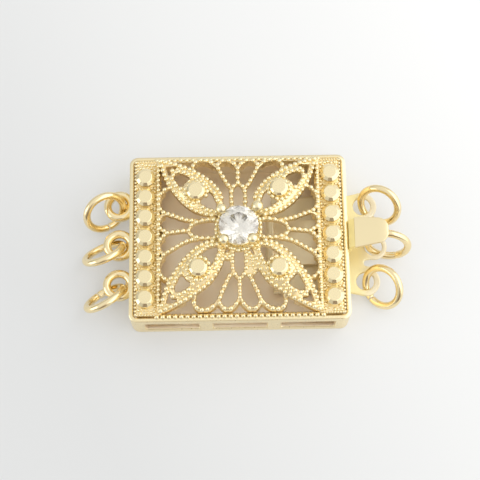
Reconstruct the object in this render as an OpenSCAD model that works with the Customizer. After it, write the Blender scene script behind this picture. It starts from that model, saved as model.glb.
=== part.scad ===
// Three-strand box clasp with a pierced, domed top, a round stone and a folded spring tongue.
// Millimetres. The origin is the centre of the underside, +X points to the tongue, +Z is up.

/* [Box] */
// Length of the box along X
box_w = 23; // [21:0.5:26]
// Depth of the box along Y
box_d = 18.1; // [17:0.1:20]
// Height of the box walls
box_h = 4.5; // [4.3:0.1:5.5]
// Thickness of the sheet
sheet = 0.45; // [0.4:0.05:0.5]
// Radius of the upright corners
corner_r = 0.9; // [0.6:0.1:1.2]
// Length of each front slot
slot_len = 5.6; // [4:0.1:6]
// Spacing of the front slots
slot_pitch = 7.1; // [6.6:0.1:7.2]
// Height of the front slots' lower edge
slot_low = 1; // [0.8:0.1:1.6]
// Height of the front slots' upper edge
slot_high = 3.35; // [2.5:0.05:3.5]

/* [Strand rings] */
// Spacing of the soldered eyes
eye_pitch = 4.4; // [4:0.1:5]
// Wire of the soldered eyes
eye_wire = 0.85; // [0.7:0.05:0.9]
// Hole through a soldered eye
eye_hole = 1.7; // [1.6:0.05:1.9]
// Outer diameter of a jump ring
ring_od = 5; // [4.8:0.1:5.2]
// Wire of a jump ring
ring_wire = 0.8; // [0.6:0.05:0.8]

/* [Pierced top] */
// Rise of the middle of the dome above its edge
dome_rise = 2; // [1.2:0.1:2.4]
// Height of the dome's edge above the box walls
dome_edge = 1; // [0.6:0.1:1.2]
// Extra height of each leaf along its middle
leaf_lift = 0.75; // [0:0.05:1]
// Width of the ribs
rib_w = 0.5; // [0.4:0.05:0.6]
// Thickness of the pierced casting
cast_t = 0.7; // [0.5:0.05:0.9]
// Number of studs in each end column
stud_count = 7; // [5:2:7]
// Spacing of the studs
stud_pitch = 2.235; // [2.1:0.005:2.3]
// Diameter of the stone
stone_d = 4.1; // [3.6:0.1:4.2]
// Height of the stone's girdle above the base
girdle_z = 8.6; // [8.4:0.05:8.8]

/* [Tongue] */
// Thickness of the folded strip
strip_t = 0.35; // [0.3:0.01:0.35]
// Width of the lower leaf
tongue_w = 10.8; // [10:0.1:11]
// Width of the upper, springing leaf
spring_w = 5; // [3.6:0.1:5.2]
// Length of the tongue inside the box
engaged = 8.6; // [8:0.1:9]
// Angle by which the spring leaf stands open
open_angle = 4.6; // [4:0.1:4.6]
// Length of the thumb tab
tab_len = 4.1; // [3:0.05:4.2]
// Width of the thumb tab at its root
tab_w = 3.5; // [3:0.1:3.6]
// Height of the thumb tab's upper face
tab_z = 5.9; // [5.6:0.1:6.2]
// Hole in each ear
ear_hole = 1.9; // [1.6:0.1:2]

/* [Hidden] */
$fn = 64;
gap = 0.12;
eps = 0.01;

// Places inside the box
wall_x = box_w / 2;
in_w = wall_x - sheet;
in_d = box_d / 2 - sheet;
seat_z = 3.8;
post = 1;
eye_z = 1.75;

// The mouth in the right wall: wide for the lower leaf, then stepping in for the spring leaf and its neck
mouth_low = 0.9;
mouth_w = tongue_w + 0.4;
mouth_plate_z = 1.5;
mouth_leaf_w = spring_w + 0.5;
mouth_leaf_z = 2.5;
neck_w = 2.3;
mouth_neck_w = neck_w + 0.5;
mouth_neck_z = 3.35;

// The folded strip
plate_z = 1;
fold_x = wall_x - engaged + 0.7;
fold_z = plate_z + 0.72;
fold_r = 0.72;
roll_r = 0.3;
leaf_t = 0.3;
lip_x = wall_x - 1.35;
lip_end = wall_x - 0.85;
lip_z = 2.8;
riser_x = wall_x + 0.15;
riser_low = 3.6;
riser_w = 3.1;
tab_slant = 0.45;
tab_root = riser_x + tab_slant;
tab_r = 1.2;
tab_ends = [[riser_x + tab_len - tab_r, 0.3], [riser_x + tab_len - tab_r, -0.1]];

// Each ear: its middle's x and y, and its radius
EARS = [[wall_x + 1.9, 4.15, 1.6], [wall_x + 2.95, -0.4, 1.45], [wall_x + 1.9, -4.25, 1.6]];
ear_waist = 0.4;
plate_end = wall_x + 2.5;
// Each notch between two ears: the x and y of its round end's middle, and its radius
NOTCHES = [[wall_x + 2.6, 1.8, 0.75], [wall_x + 2.2, -2.22, 0.35]];

// Each jump ring: its middle, then its turns about its long axis, its cross axis and upright
RINGS_LEFT = [
  [[-wall_x - 2.8, 3.63, 2.37], [59, -9.5, 27]],
  [[-wall_x - 2.86, -0.92, 2.26], [-51, 26, 5]],
  [[-wall_x - 2.7, -5.88, 2.44], [-59, -8.5, 37]]
];
RINGS_RIGHT = [
  [[wall_x + 3.7, 3.95, 2.16], [53, 18.8, -19.3]],
  [[wall_x + 4.37, -0.55, 2.44], [71, 31, 1.4]],
  [[wall_x + 3.61, -5.09, 2.07], [51.2, 0.5, -53.2]]
];
ring_split = 3;

// The pierced pattern, charted for one quarter of the face: x, y of the middle of each rib
LEAF_HIGH = [
  [1.75, 3.3], [1.9, 3.8], [2.3, 4.5], [2.9, 5.3], [3.6, 5.9],
  [4.4, 6.45], [5.3, 7], [6.5, 7.55], [7.4, 7.9], [8.15, 8.15]
];
LEAF_LOW = [
  [2.7, 1.4], [3.6, 1.65], [4.5, 2.1], [5.3, 2.75], [6, 3.5],
  [6.65, 4.4], [7.15, 5.2], [7.6, 6.2], [7.9, 7.1], [8.15, 8.15]
];
// The inner end of each leaf, beside the stone's seat
LEAF_ROOT = [[1.9, 1.2], [1.25, 2.1]];
// The finer ribs
OVAL = [[1.9, 0.95], [3.2, 0.98], [4, 0.9], [4.6, 0.7], [5, 0.4], [5.15, 0]];
FAN_SIDE = [[4.3, 1], [4.9, 1.05], [5.65, 1.25], [6.7, 1.75], [7.3, 2.05], [7.8, 2.3]];
FAN_MID = [[5.15, 0], [6.2, 0], [7.4, 0]];
LOOP_ARC = [[7.5, 2.15], [8.1, 1.95], [8.35, 1.25], [8.2, 0.65], [7.8, 0.3], [7.3, 0]];
LONG_ARC = [[7.7, 2.3], [8.2, 2.8], [8.35, 3.6], [8.15, 4.35], [7.65, 4.85], [7.1, 5.05]];
LENS = [[0.68, 2.2], [0.72, 3.9], [0.6, 4.5], [0.3, 4.95], [0, 5.15]];
SPIRE = [[0, 5.15], [0, 6.2], [0, 7]];
SPIRE_ARC = [[0, 7], [0.3, 7.5], [0.75, 7.95], [1.25, 8.1], [1.75, 7.95], [2.1, 7.5]];
SIDE_ARC = [
  [0.6, 4.5], [1.1, 5], [1.45, 5.7], [1.8, 6.4], [2.1, 7.1], [2.5, 7.6],
  [3.1, 8], [3.8, 8.15], [4.4, 7.95], [4.7, 7.45], [4.6, 6.85]
];
RIBS = [
  LEAF_HIGH, LEAF_LOW, OVAL, FAN_SIDE, FAN_MID, LOOP_ARC,
  LONG_ARC, LENS, SPIRE, SPIRE_ARC, SIDE_ARC
];

// The openings in one leaf
HEART_HOLE = [
  [4.1, 2.85], [4.05, 3.25], [3.5, 3.45], [3.35, 3.9], [3, 4], [2.65, 3.6],
  [2.5, 3.15], [2.25, 2.65], [2.2, 2], [2.5, 2], [3.3, 2.25], [3.65, 2.55]
];
KITE_HOLE = [
  [6.65, 6.35], [6.1, 6.4], [5.5, 6.15], [5.05, 5.8], [5.1, 5.5],
  [5.45, 5.3], [5.8, 4.8], [6.1, 4.8], [6.35, 5.35], [6.65, 5.8]
];
TIP_HOLE = [[7.25, 6.35], [7.6, 7.45], [6.4, 7.4], [6.45, 7.1], [7.05, 7], [7.05, 6.4]];

// Places on the pierced top
frame_w = in_w - gap;
frame_d = in_d - gap;
frame_low = seat_z + 0.05;
frame_high = box_h + 0.25;
chart_x = 8.6;
chart_y = 8.25;
panel_x = wall_x - 2.9;
panel_y = box_d / 2 - 0.8;
dome_x = panel_x + 0.3;
dome_y = panel_y + 0.45;
ground_x = panel_x - 0.45;
border_w = 0.5;
skirt_w = 0.9;
panel_edge_w = 0.35;
seat_r = 2.5;
well_r = 1.5;
stud_x = wall_x - 1.75;
stud_sides = 12;
stud_slope = 0.82;
stud_r = 1.04;
stud_top_r = 0.68;
stud_z = box_h + 1.15;
boss_r = 0.98;
boss_top_r = 0.72;
boss_z = box_h + 3.85;
prong_r = 0.35;
bead_z = 8.85;
// Each column of studs: its x, the y of its middle and its spacing
STUD_COLUMNS = [[-stud_x, -0.12, 0.98 * stud_pitch], [stud_x, -0.02, stud_pitch]];
// The boss of each leaf, set by hand and so a little uneven
BOSSES = [[-4.37, 3.96], [4.23, 4.18], [-4.19, -4.24], [4.02, -4.3]];
// Each prong: x, y and the radius of its rounded end
PRONGS = [[-1.75, 1.66, 0.52], [1.93, 1.9, 0.56], [-1.56, -1.6, 0.52], [1.48, -1.62, 0.52]];
leaf_from = 2.4;
leaf_to = 11.6;
leaf_half = 1.9;

// Smooth curve through the points of a chart
function between(a, b, c, d, t) =
  0.5 * (2 * b + (c - a) * t + (2 * a - 5 * b + 4 * c - d) * t * t + (3 * b - a - 3 * c + d) * t * t * t);
function smooth(p, n = 2) = concat(
  [for (i = [0:len(p) - 2], k = [0:n - 1])
    between(p[max(i - 1, 0)], p[i], p[i + 1], p[min(i + 2, len(p) - 1)], k / n)],
  [p[len(p) - 1]]
);
function backwards(p) = [for (i = [len(p) - 1:-1:0]) p[i]];
function along(p, i) = p[min(i + 1, len(p) - 1)] - p[max(i - 1, 0)];
function left_of(v) = [-v.y, v.x] / norm(v);
function shifted(p, d) = [for (i = [0:len(p) - 1]) p[i] + d * left_of(along(p, i))];

// Height of the dome above the box walls: low at the edges, full in the middle
function dome(x, y) =
  dome_edge + dome_rise * (1 - pow(min(abs(x) / dome_x, 1), 2.5)) * (1 - pow(min(abs(y) / dome_y, 1), 2));
// Each diagonal leaf is crowned along its middle line
function leaf_crown(x, y) =
  let (u = (abs(x) + abs(y)) / sqrt(2), v = (abs(x) - abs(y)) / sqrt(2))
  let (k = (u - leaf_from) / (leaf_to - leaf_from))
  k <= 0 || k >= 1 ? 0 : leaf_lift * sin(180 * pow(k, 0.7)) * max(0, 1 - pow(v / leaf_half, 2));
function top_z(x, y) = box_h + dome(x, y) + leaf_crown(x, y);
// The ribs at the rim of the panel reach down to the frame
function skirt_z(x, y) =
  abs(x) > panel_x - skirt_w || abs(y) > panel_y - skirt_w ? frame_low + border_w : top_z(x, y) - cast_t;

module quarters() {
  for (sx = [0, 1], sy = [0, 1])
    mirror([sx, 0]) mirror([0, sy]) children();
}

module rounded_plate(w, d, r, h) {
  linear_extrude(h) {
    square([w - 2 * r, d], center = true);
    square([w, d - 2 * r], center = true);
    for (sx = [-1, 1], sy = [-1, 1])
      translate([sx * (w / 2 - r), sy * (d / 2 - r)]) circle(r);
  }
}

// Box: bottom, walls, front slots, mouth, corner posts and the three soldered eyes
module walls() {
  difference() {
    rounded_plate(box_w, box_d, corner_r, box_h);
    translate([0, 0, sheet]) rounded_plate(2 * in_w, 2 * in_d, corner_r - sheet, box_h);
    for (i = [-1:1])
      translate([i * slot_pitch - slot_len / 2, -box_d, slot_low])
        cube([slot_len, box_d, slot_high - slot_low]);
    mouth(mouth_w, mouth_plate_z);
    mouth(mouth_leaf_w, mouth_leaf_z);
    mouth(mouth_neck_w, mouth_neck_z);
  }
}

module mouth(width, top) {
  translate([in_w - 0.5, -width / 2, mouth_low])
    cube([2, width, top - mouth_low]);
}

module corner_posts() {
  for (sx = [-1, 1], sy = [-1, 1])
    translate([sx * (in_w - post / 2), sy * (in_d - post / 2), seat_z / 2 + eps])
      cube([post, post, seat_z - 2 * eps], center = true);
}

module eyes() {
  for (i = [-1:1])
    translate([-wall_x - eye_hole / 2 - sheet, i * eye_pitch, eye_z])
      rotate_extrude() translate([(eye_hole + eye_wire) / 2, 0]) circle(eye_wire / 2);
}

module box_body() {
  color("khaki") {
    walls();
    corner_posts();
    difference() {
      eyes();
      translate([-in_w, -box_d / 2, 0]) cube([2, box_d, box_h]);
    }
  }
}

// Pierced top
module rib(p) {
  c = smooth(p);
  polygon(concat(shifted(c, rib_w / 2), backwards(shifted(c, -rib_w / 2))));
  for (q = [c[0], c[len(c) - 1]])
    translate(q) circle(rib_w / 2, $fn = 8);
}

module pattern() {
  scale([panel_x / chart_x, panel_y / chart_y]) quarters() {
    for (p = RIBS) rib(p);
    difference() {
      polygon(concat(smooth(LEAF_HIGH), backwards(smooth(LEAF_LOW)), LEAF_ROOT));
      polygon(HEART_HOLE);
      polygon(KITE_HOLE);
      polygon(TIP_HOLE);
    }
  }
  circle(seat_r, $fn = 24);
  panel_edge();
}

// A narrow upright edge along each end of the panel, beside the studs
module panel_edge() {
  for (s = [-1, 1])
    translate([s * (panel_x - panel_edge_w / 2), 0]) square([panel_edge_w, 2 * panel_y], center = true);
}

// The dome's shell as a grid of points: its upper face, then its lower one
dome_steps = 20;
shell_x = panel_x + 0.02;
shell_y = panel_y + 0.02;
function grid_x(i) = shell_x * (2 * i / dome_steps - 1);
function grid_y(j) = shell_y * (2 * j / dome_steps - 1);

module dome_shell() {
  nx = dome_steps + 1;
  ny = nx;
  points = concat(
    [for (j = [0:ny - 1], i = [0:nx - 1]) [grid_x(i), grid_y(j), top_z(grid_x(i), grid_y(j))]],
    [for (j = [0:ny - 1], i = [0:nx - 1]) [grid_x(i), grid_y(j), skirt_z(grid_x(i), grid_y(j))]]
  );
  low = nx * ny;
  upper = [for (j = [0:ny - 2], i = [0:nx - 2], k = [0, 1])
    let (a = j * nx + i, b = a + 1, c = a + nx + 1, d = a + nx)
    grid_x(i + 0.5) * grid_y(j + 0.5) > 0
      ? (k == 0 ? [a, c, b] : [a, d, c])
      : (k == 0 ? [a, d, b] : [b, d, c])];
  under = [for (f = upper) [low + f[0], low + f[2], low + f[1]]];
  rim = concat([for (i = [0:nx - 1]) i], [for (j = [1:ny - 1]) j * nx + nx - 1],
    [for (i = [nx - 2:-1:0]) (ny - 1) * nx + i], [for (j = [ny - 2:-1:1]) j * nx]);
  edge = [for (k = [0:len(rim) - 1])
    let (a = rim[k], b = rim[(k + 1) % len(rim)])
    [a, b, b + low, a + low]];
  polyhedron(points, concat(upper, under, edge));
}

module frame() {
  translate([0, 0, frame_low]) linear_extrude(frame_high - frame_low)
    difference() {
      square([2 * frame_w, 2 * frame_d], center = true);
      square([2 * ground_x, 2 * (frame_d - border_w)], center = true);
    }
}

// A faceted stud: an upright foot, a ring of slanting facets and a flat top
module stud(r_low, r_high, z_low, z_high) {
  shoulder = z_high - stud_slope * (r_low - r_high);
  rotate(180 / stud_sides) hull() {
    translate([0, 0, z_low]) cylinder(r = r_low, h = shoulder - z_low, $fn = stud_sides);
    translate([0, 0, z_high - eps]) cylinder(r = r_high, h = eps, $fn = stud_sides);
  }
}

module studs() {
  for (c = STUD_COLUMNS, i = [0:stud_count - 1])
    translate([c[0], c[1] + (i - (stud_count - 1) / 2) * c[2], 0])
      stud(stud_r, stud_top_r, frame_high - 0.1, stud_z);
  for (b = BOSSES)
    translate([b.x, b.y, 0]) stud(boss_r, boss_top_r, top_z(b.x, b.y) - 0.35, boss_z);
}

module setting() {
  low = top_z(seat_r, 0) - 0.3;
  translate([0, 0, low]) cylinder(r = 2, h = girdle_z - 0.75 - low, $fn = 24);
  for (p = PRONGS) {
    hull() {
      translate([p.x, p.y, low]) sphere(prong_r, $fn = 8);
      translate([p.x, p.y, bead_z]) sphere(prong_r, $fn = 8);
    }
    translate([p.x, p.y, bead_z - prong_r / 6]) sphere(p.z, $fn = 12);
  }
}

module filigree_top() {
  color("gold") difference() {
    union() {
      intersection() {
        translate([0, 0, box_h - 1]) linear_extrude(6, convexity = 10) pattern();
        dome_shell();
      }
      frame();
      studs();
      setting();
    }
    cylinder(r = well_r, h = 2 * box_h, $fn = 24);
    translate([0, 0, girdle_z]) stone_shape(stone_d / 2 + 0.07, 24);
  }
}

// Round brilliant: table, star and girdle corners above, one point below
module ring_of_points(r, z, n, turn = 0) {
  translate([0, 0, z]) rotate(turn) cylinder(r = r, h = eps, $fn = n);
}

module stone_shape(r, n) {
  hull() {
    ring_of_points(0.56 * r, 0.3 * r, 8, 22.5);
    ring_of_points(0.8 * r, 0.19 * r, 8);
    ring_of_points(r, 0, n);
    ring_of_points(r, -0.05 * r, n);
    ring_of_points(0.03 * r, -0.86 * r, 8);
  }
}

module crystal() {
  color("lightcyan") translate([0, 0, girdle_z]) stone_shape(stone_d / 2, 16);
}

// Tongue: the lower leaf with its fold and three holed ears
module ear_blank(x, y, r) {
  root = r - ear_waist;
  translate([x, y]) circle(r);
  polygon([
    [wall_x, y - root], [x, y - r], [x, y + r], [wall_x, y + root]
  ]);
}

module plate_outline() {
  difference() {
    union() {
      translate([fold_x, -tongue_w / 2]) square([wall_x + gap - fold_x, tongue_w]);
      translate([wall_x, EARS[2][1]]) square([plate_end - wall_x, EARS[0][1] - EARS[2][1]]);
      for (e = EARS) ear_blank(e[0], e[1], e[2]);
    }
    for (e = EARS) translate([e[0], e[1]]) circle(ear_hole / 2);
    for (n = NOTCHES) translate([n[0], n[1]]) {
      circle(n[2]);
      translate([0, -n[2]]) square([4, 2 * n[2]]);
    }
  }
}

module tongue_plate() {
  color("goldenrod") {
    translate([0, 0, plate_z]) linear_extrude(strip_t) plate_outline();
    translate([fold_x, 0, fold_z]) rotate([90, 0, 0]) linear_extrude(spring_w, center = true)
      difference() {
        circle(fold_r);
        circle(fold_r - strip_t);
        translate([0, -2 * fold_r]) square(4 * fold_r);
      }
  }
}

// Spring leaf: its roll in the fold, the leaf, the catching lip, the neck and the thumb tab
module press_leaf() {
  rise = tan(open_angle);
  lip_low = fold_z + (lip_x - fold_x) * rise;
  color("gold") {
    translate([fold_x, 0, fold_z]) rotate([90, 0, 0])
      cylinder(r = roll_r, h = spring_w, center = true);
    side_plate(spring_w, [
      [fold_x, fold_z - leaf_t / 2], [lip_x, lip_low - leaf_t / 2],
      [lip_end, lip_low], [lip_end, lip_z],
      [lip_end - leaf_t, lip_z], [lip_x - 0.1, lip_low + leaf_t / 2], [fold_x, fold_z + leaf_t / 2]
    ]);
    side_plate(neck_w, [
      [lip_end - leaf_t, lip_z - leaf_t], [riser_x + leaf_t, lip_z - leaf_t],
      [riser_x + leaf_t, riser_low + leaf_t], [riser_x, riser_low + leaf_t],
      [riser_x, lip_z], [lip_end - leaf_t, lip_z]
    ]);
    side_plate(riser_w, [
      [riser_x, riser_low], [riser_x + leaf_t, riser_low],
      [riser_x + leaf_t, tab_z - tab_slant - leaf_t / 3], [tab_root + leaf_t / 3, tab_z - leaf_t],
      [tab_root + leaf_t, tab_z - leaf_t / 2], [tab_root, tab_z], [riser_x, tab_z - tab_slant]
    ]);
    tab();
  }
}

// A bent strip: its outline in x and z, carried across y
module side_plate(width, outline) {
  translate([0, width / 2, 0]) rotate([90, 0, 0]) linear_extrude(width) polygon(outline);
}

module tab() {
  translate([0, 0, tab_z - leaf_t]) linear_extrude(leaf_t) {
    polygon([
      [tab_root, -tab_w / 2], tab_ends[1] - [0, tab_r], tab_ends[1] + [tab_r, 0],
      tab_ends[0] + [tab_r, 0], tab_ends[0] + [0, tab_r], [tab_root, tab_w / 2]
    ]);
    for (e = tab_ends) translate(e) circle(tab_r);
  }
}

// Jump ring: round wire bent to a ring with a fine split
module jump_ring(place) {
  color("goldenrod") translate(place[0])
    rotate([0, 0, place[1].z]) rotate([0, -place[1].y, 0]) rotate([place[1].x, 0, 0])
      rotate(ring_split / 2 - sign(place[1].x) * 90) rotate_extrude(angle = 360 - ring_split)
        translate([(ring_od - ring_wire) / 2, 0]) circle(ring_wire / 2);
}

box_body();
filigree_top();
crystal();
tongue_plate();
press_leaf();
jump_ring(RINGS_LEFT[0]);  // ring_left_1
jump_ring(RINGS_LEFT[1]);  // ring_left_2
jump_ring(RINGS_LEFT[2]);  // ring_left_3
jump_ring(RINGS_RIGHT[0]);  // ring_right_1
jump_ring(RINGS_RIGHT[1]);  // ring_right_2
jump_ring(RINGS_RIGHT[2]);  // ring_right_3
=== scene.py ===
"""A gold-plated box clasp for three strands: pierced, beaded, domed top with a round stone,
spring tongue with a thumb tab, soldered eyes and jump rings, lying on a pale studio floor."""
import math

import bmesh
import bpy
import numpy as np
from mathutils import Euler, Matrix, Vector


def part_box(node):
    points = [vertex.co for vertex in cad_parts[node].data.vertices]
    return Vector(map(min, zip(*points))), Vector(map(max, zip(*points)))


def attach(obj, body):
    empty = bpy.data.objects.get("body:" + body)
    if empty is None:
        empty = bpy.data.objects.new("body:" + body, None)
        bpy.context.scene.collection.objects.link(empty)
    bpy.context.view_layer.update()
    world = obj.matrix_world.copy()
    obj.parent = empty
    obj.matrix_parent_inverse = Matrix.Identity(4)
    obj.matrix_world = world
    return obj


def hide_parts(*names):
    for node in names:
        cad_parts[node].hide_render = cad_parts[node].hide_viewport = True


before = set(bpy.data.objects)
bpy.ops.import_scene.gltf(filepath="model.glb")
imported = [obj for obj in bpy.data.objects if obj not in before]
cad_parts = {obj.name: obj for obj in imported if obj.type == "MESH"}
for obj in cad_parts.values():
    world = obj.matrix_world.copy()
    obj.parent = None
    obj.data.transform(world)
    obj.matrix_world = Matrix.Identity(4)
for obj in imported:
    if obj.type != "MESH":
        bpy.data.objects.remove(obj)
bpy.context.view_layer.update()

# All sizes below are millimetres in the clasp's own frame. MM makes them metres where a mesh,
# a lamp or the camera is made.
MM = 0.001
WALL_X, WALL_Y, WALL_Z = np.array(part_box("box_body")[1]) / MM
top_corners = np.array(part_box("filigree_top")) / MM
TOP_X, TOP_Y, TOP_LOW = top_corners[1, 0], top_corners[1, 1], top_corners[0, 2]
SHEET, CORNER_R = 0.45, 0.9
SEED = 7

# Each node of the clasp: the body that it moves with and the slot of its finish
NODES = {
    "box_body": ("case", "gold_box"),
    "filigree_top": ("case", "gold_filigree"),
    "crystal": ("case", "crystal"),
    "tongue_plate": ("tongue", "gold_tongue"),
    "press_leaf": ("leaf", "gold_tongue"),
    **{f"ring_left_{number}": ("case", "gold_ring") for number in (1, 2, 3)},
    **{f"ring_right_{number}": ("tongue", "gold_ring") for number in (1, 2, 3)},
}


# Mesh building

def put(name, data):
    """A new object of the scene that carries a mesh, a lamp or a camera."""
    thing = bpy.data.objects.new(name, data)
    bpy.context.scene.collection.objects.link(thing)
    return thing


def make_piece(name, shape, material, node, sharp=None):
    """One mesh object that stands for a node. shape is an array of points in millimetres and a
    list of face arrays, each (faces, corners). Faces are smooth, with edges over the sharp angle
    (degrees) kept crisp, and where sharp is 0 every face is flat."""
    mesh = bpy.data.meshes.new(name)
    points = np.asarray(shape[0], float).reshape(-1, 3) * MM
    faces = [np.asarray(f, np.int32) for f in shape[1] if len(f)]
    corners = np.concatenate([f.ravel() for f in faces])
    sizes = np.concatenate([np.full(len(f), f.shape[1], np.int32) for f in faces])
    mesh.vertices.add(len(points))
    mesh.vertices.foreach_set("co", points.ravel())
    mesh.loops.add(len(corners))
    mesh.loops.foreach_set("vertex_index", corners)
    mesh.polygons.add(len(sizes))
    mesh.polygons.foreach_set("loop_start", np.concatenate([[0], np.cumsum(sizes)[:-1]]))
    mesh.polygons.foreach_set("use_smooth", np.full(len(sizes), sharp != 0))
    mesh.update(calc_edges=True)
    mesh.validate()
    if sharp:
        mesh.set_sharp_from_angle(angle=math.radians(sharp))
    mesh.materials.append(material)
    piece = put(name, mesh)
    body, slot = NODES[node]
    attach(piece, body)
    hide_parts(node)
    return piece


def joined(*parts):
    """Several (points, faces) pairs as one pair."""
    points, faces, start = [], [], 0
    for part_points, part_faces in parts:
        part_points = np.asarray(part_points, float).reshape(-1, 3)
        points.append(part_points)
        faces += [np.asarray(f, np.int32) + start for f in part_faces if len(f)]
        start += len(part_points)
    return np.concatenate(points), faces


def grid_faces(rows, columns, wrap_rows=False, wrap_columns=False):
    """Quads between the points of a grid, which may close on itself either way."""
    i = np.arange(rows if wrap_rows else rows - 1)[:, None]
    j = np.arange(columns if wrap_columns else columns - 1)[None, :]
    a = i * columns + j
    b = i * columns + (j + 1) % columns
    c = (i + 1) % rows * columns + (j + 1) % columns
    d = (i + 1) % rows * columns + j
    return np.stack([a, b, c, d], -1).reshape(-1, 4)


def closed_ring(grid):
    """A grid of points (stations, corners, 3) as a ring that closes on itself both ways."""
    return grid.reshape(-1, 3), [grid_faces(*grid.shape[:2], True, True)[:, ::-1]]


def capped_tube(grid):
    """A grid of points (stations, corners, 3) as a closed tube, its ends closed by fans."""
    stations, corners = grid.shape[:2]
    ends = np.stack([grid[0].mean(0), grid[-1].mean(0)])
    first = stations * corners
    j = np.arange(corners)
    k = (j + 1) % corners
    last = (stations - 1) * corners
    sides = grid_faces(stations, corners, wrap_columns=True)
    start_fan = np.stack([np.full(corners, first), k, j], -1)
    end_fan = np.stack([np.full(corners, first + 1), last + j, last + k], -1)
    return np.concatenate([grid.reshape(-1, 3), ends]), [sides, start_fan, end_fan]


def angles(count):
    """That many even angles once round a circle."""
    return np.arange(count) * 2 * math.pi / count


def polar(radius, turn):
    """Places in a plane by their distance from the middle and their angle."""
    return np.stack([radius * np.cos(turn), radius * np.sin(turn)], -1)


def turned(profile, sides, centre=(0, 0), phase=0.0):
    """A profile of (radius, height) turned about an upright axis: a grid with no caps."""
    profile = np.asarray(profile, float)
    flat = centre + polar(profile[:, :1], phase + angles(sides))
    return np.concatenate([flat, np.repeat(profile[:, None, 1:], sides, 1)], -1)


def smooth_curve(points, steps=6):
    """Catmull-Rom curve through the points of a chart."""
    p = np.asarray(points, float)
    padded = np.concatenate([p[:1], p, p[-1:]])
    a, b, c, d = (padded[k:len(p) - 1 + k, None] for k in range(4))
    t = np.linspace(0, 1, steps, endpoint=False)[None, :, None]
    square = 2 * a - 5 * b + 4 * c - d
    cube = 3 * b - a - 3 * c + d
    curve = 0.5 * (2 * b + (c - a) * t + square * t ** 2 + cube * t ** 3)
    return np.concatenate([curve.reshape(-1, p.shape[1]), p[-1:]])


def spaced_along(curve, pitch):
    """Points at an even pitch along a curve, both ends included."""
    lengths = np.linalg.norm(np.diff(curve, axis=0), axis=1)
    reach = np.concatenate([[0], np.cumsum(lengths)])
    count = max(2, int(round(reach[-1] / pitch)) + 1)
    at = np.linspace(0, reach[-1], count)
    return np.stack([np.interp(at, reach, curve[:, k]) for k in range(curve.shape[1])], -1)


def distance_to(x, y, curve):
    """Distance in the plane from each point to a chain of straight pieces."""
    p = np.stack([np.asarray(x, float).ravel(), np.asarray(y, float).ravel()], -1)[:, None]
    a, b = curve[None, :-1], curve[None, 1:]
    along = b - a
    t = np.clip(((p - a) * along).sum(-1) / np.maximum((along ** 2).sum(-1), 1e-12), 0, 1)
    gap = np.linalg.norm(p - a - t[..., None] * along, axis=-1).min(1)
    return gap.reshape(np.shape(x))


def inside_outline(x, y, outline):
    """Signed distance to a closed outline: negative inside."""
    closed = np.concatenate([outline, outline[:1]])
    px, py = np.asarray(x, float).ravel()[:, None], np.asarray(y, float).ravel()[:, None]
    ax, ay, bx, by = closed[:-1, 0], closed[:-1, 1], closed[1:, 0], closed[1:, 1]
    rise = np.where(by == ay, 1e-12, by - ay)
    crosses = ((ay > py) != (by > py)) & (px < (bx - ax) * (py - ay) / rise + ax)
    odd = (crosses.sum(1) % 2 == 1).reshape(np.shape(x))
    return np.where(odd, -1, 1) * distance_to(x, y, closed)


def inside_box(x, y, half_x, half_y, r=0.0):
    """Signed distance to a rectangle round the origin with rounded corners."""
    qx = np.abs(x) - half_x + r
    qy = np.abs(y) - half_y + r
    return np.hypot(np.maximum(qx, 0), np.maximum(qy, 0)) + np.minimum(np.maximum(qx, qy), 0) - r


# Faces of one grid cell by which of its corners a, b, c, d lie in the metal (bits 1, 2, 4, 8).
# 0 to 3 are the corners, 4 to 7 the crossings on the sides ab, bc, cd, da.
CELL_FACES = {
    1: [(0, 4, 7)], 2: [(1, 5, 4)], 3: [(0, 1, 5, 7)], 4: [(2, 6, 5)],
    5: [(0, 4, 7), (2, 6, 5)], 6: [(1, 2, 6, 4)], 7: [(0, 1, 2, 6, 7)], 8: [(3, 7, 6)],
    9: [(3, 0, 4, 6)], 10: [(1, 5, 4), (3, 7, 6)], 11: [(3, 0, 1, 5, 6)], 12: [(2, 3, 7, 5)],
    13: [(2, 3, 0, 4, 5)], 14: [(1, 2, 3, 7, 4)], 15: [(0, 1, 2, 3)],
}


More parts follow.
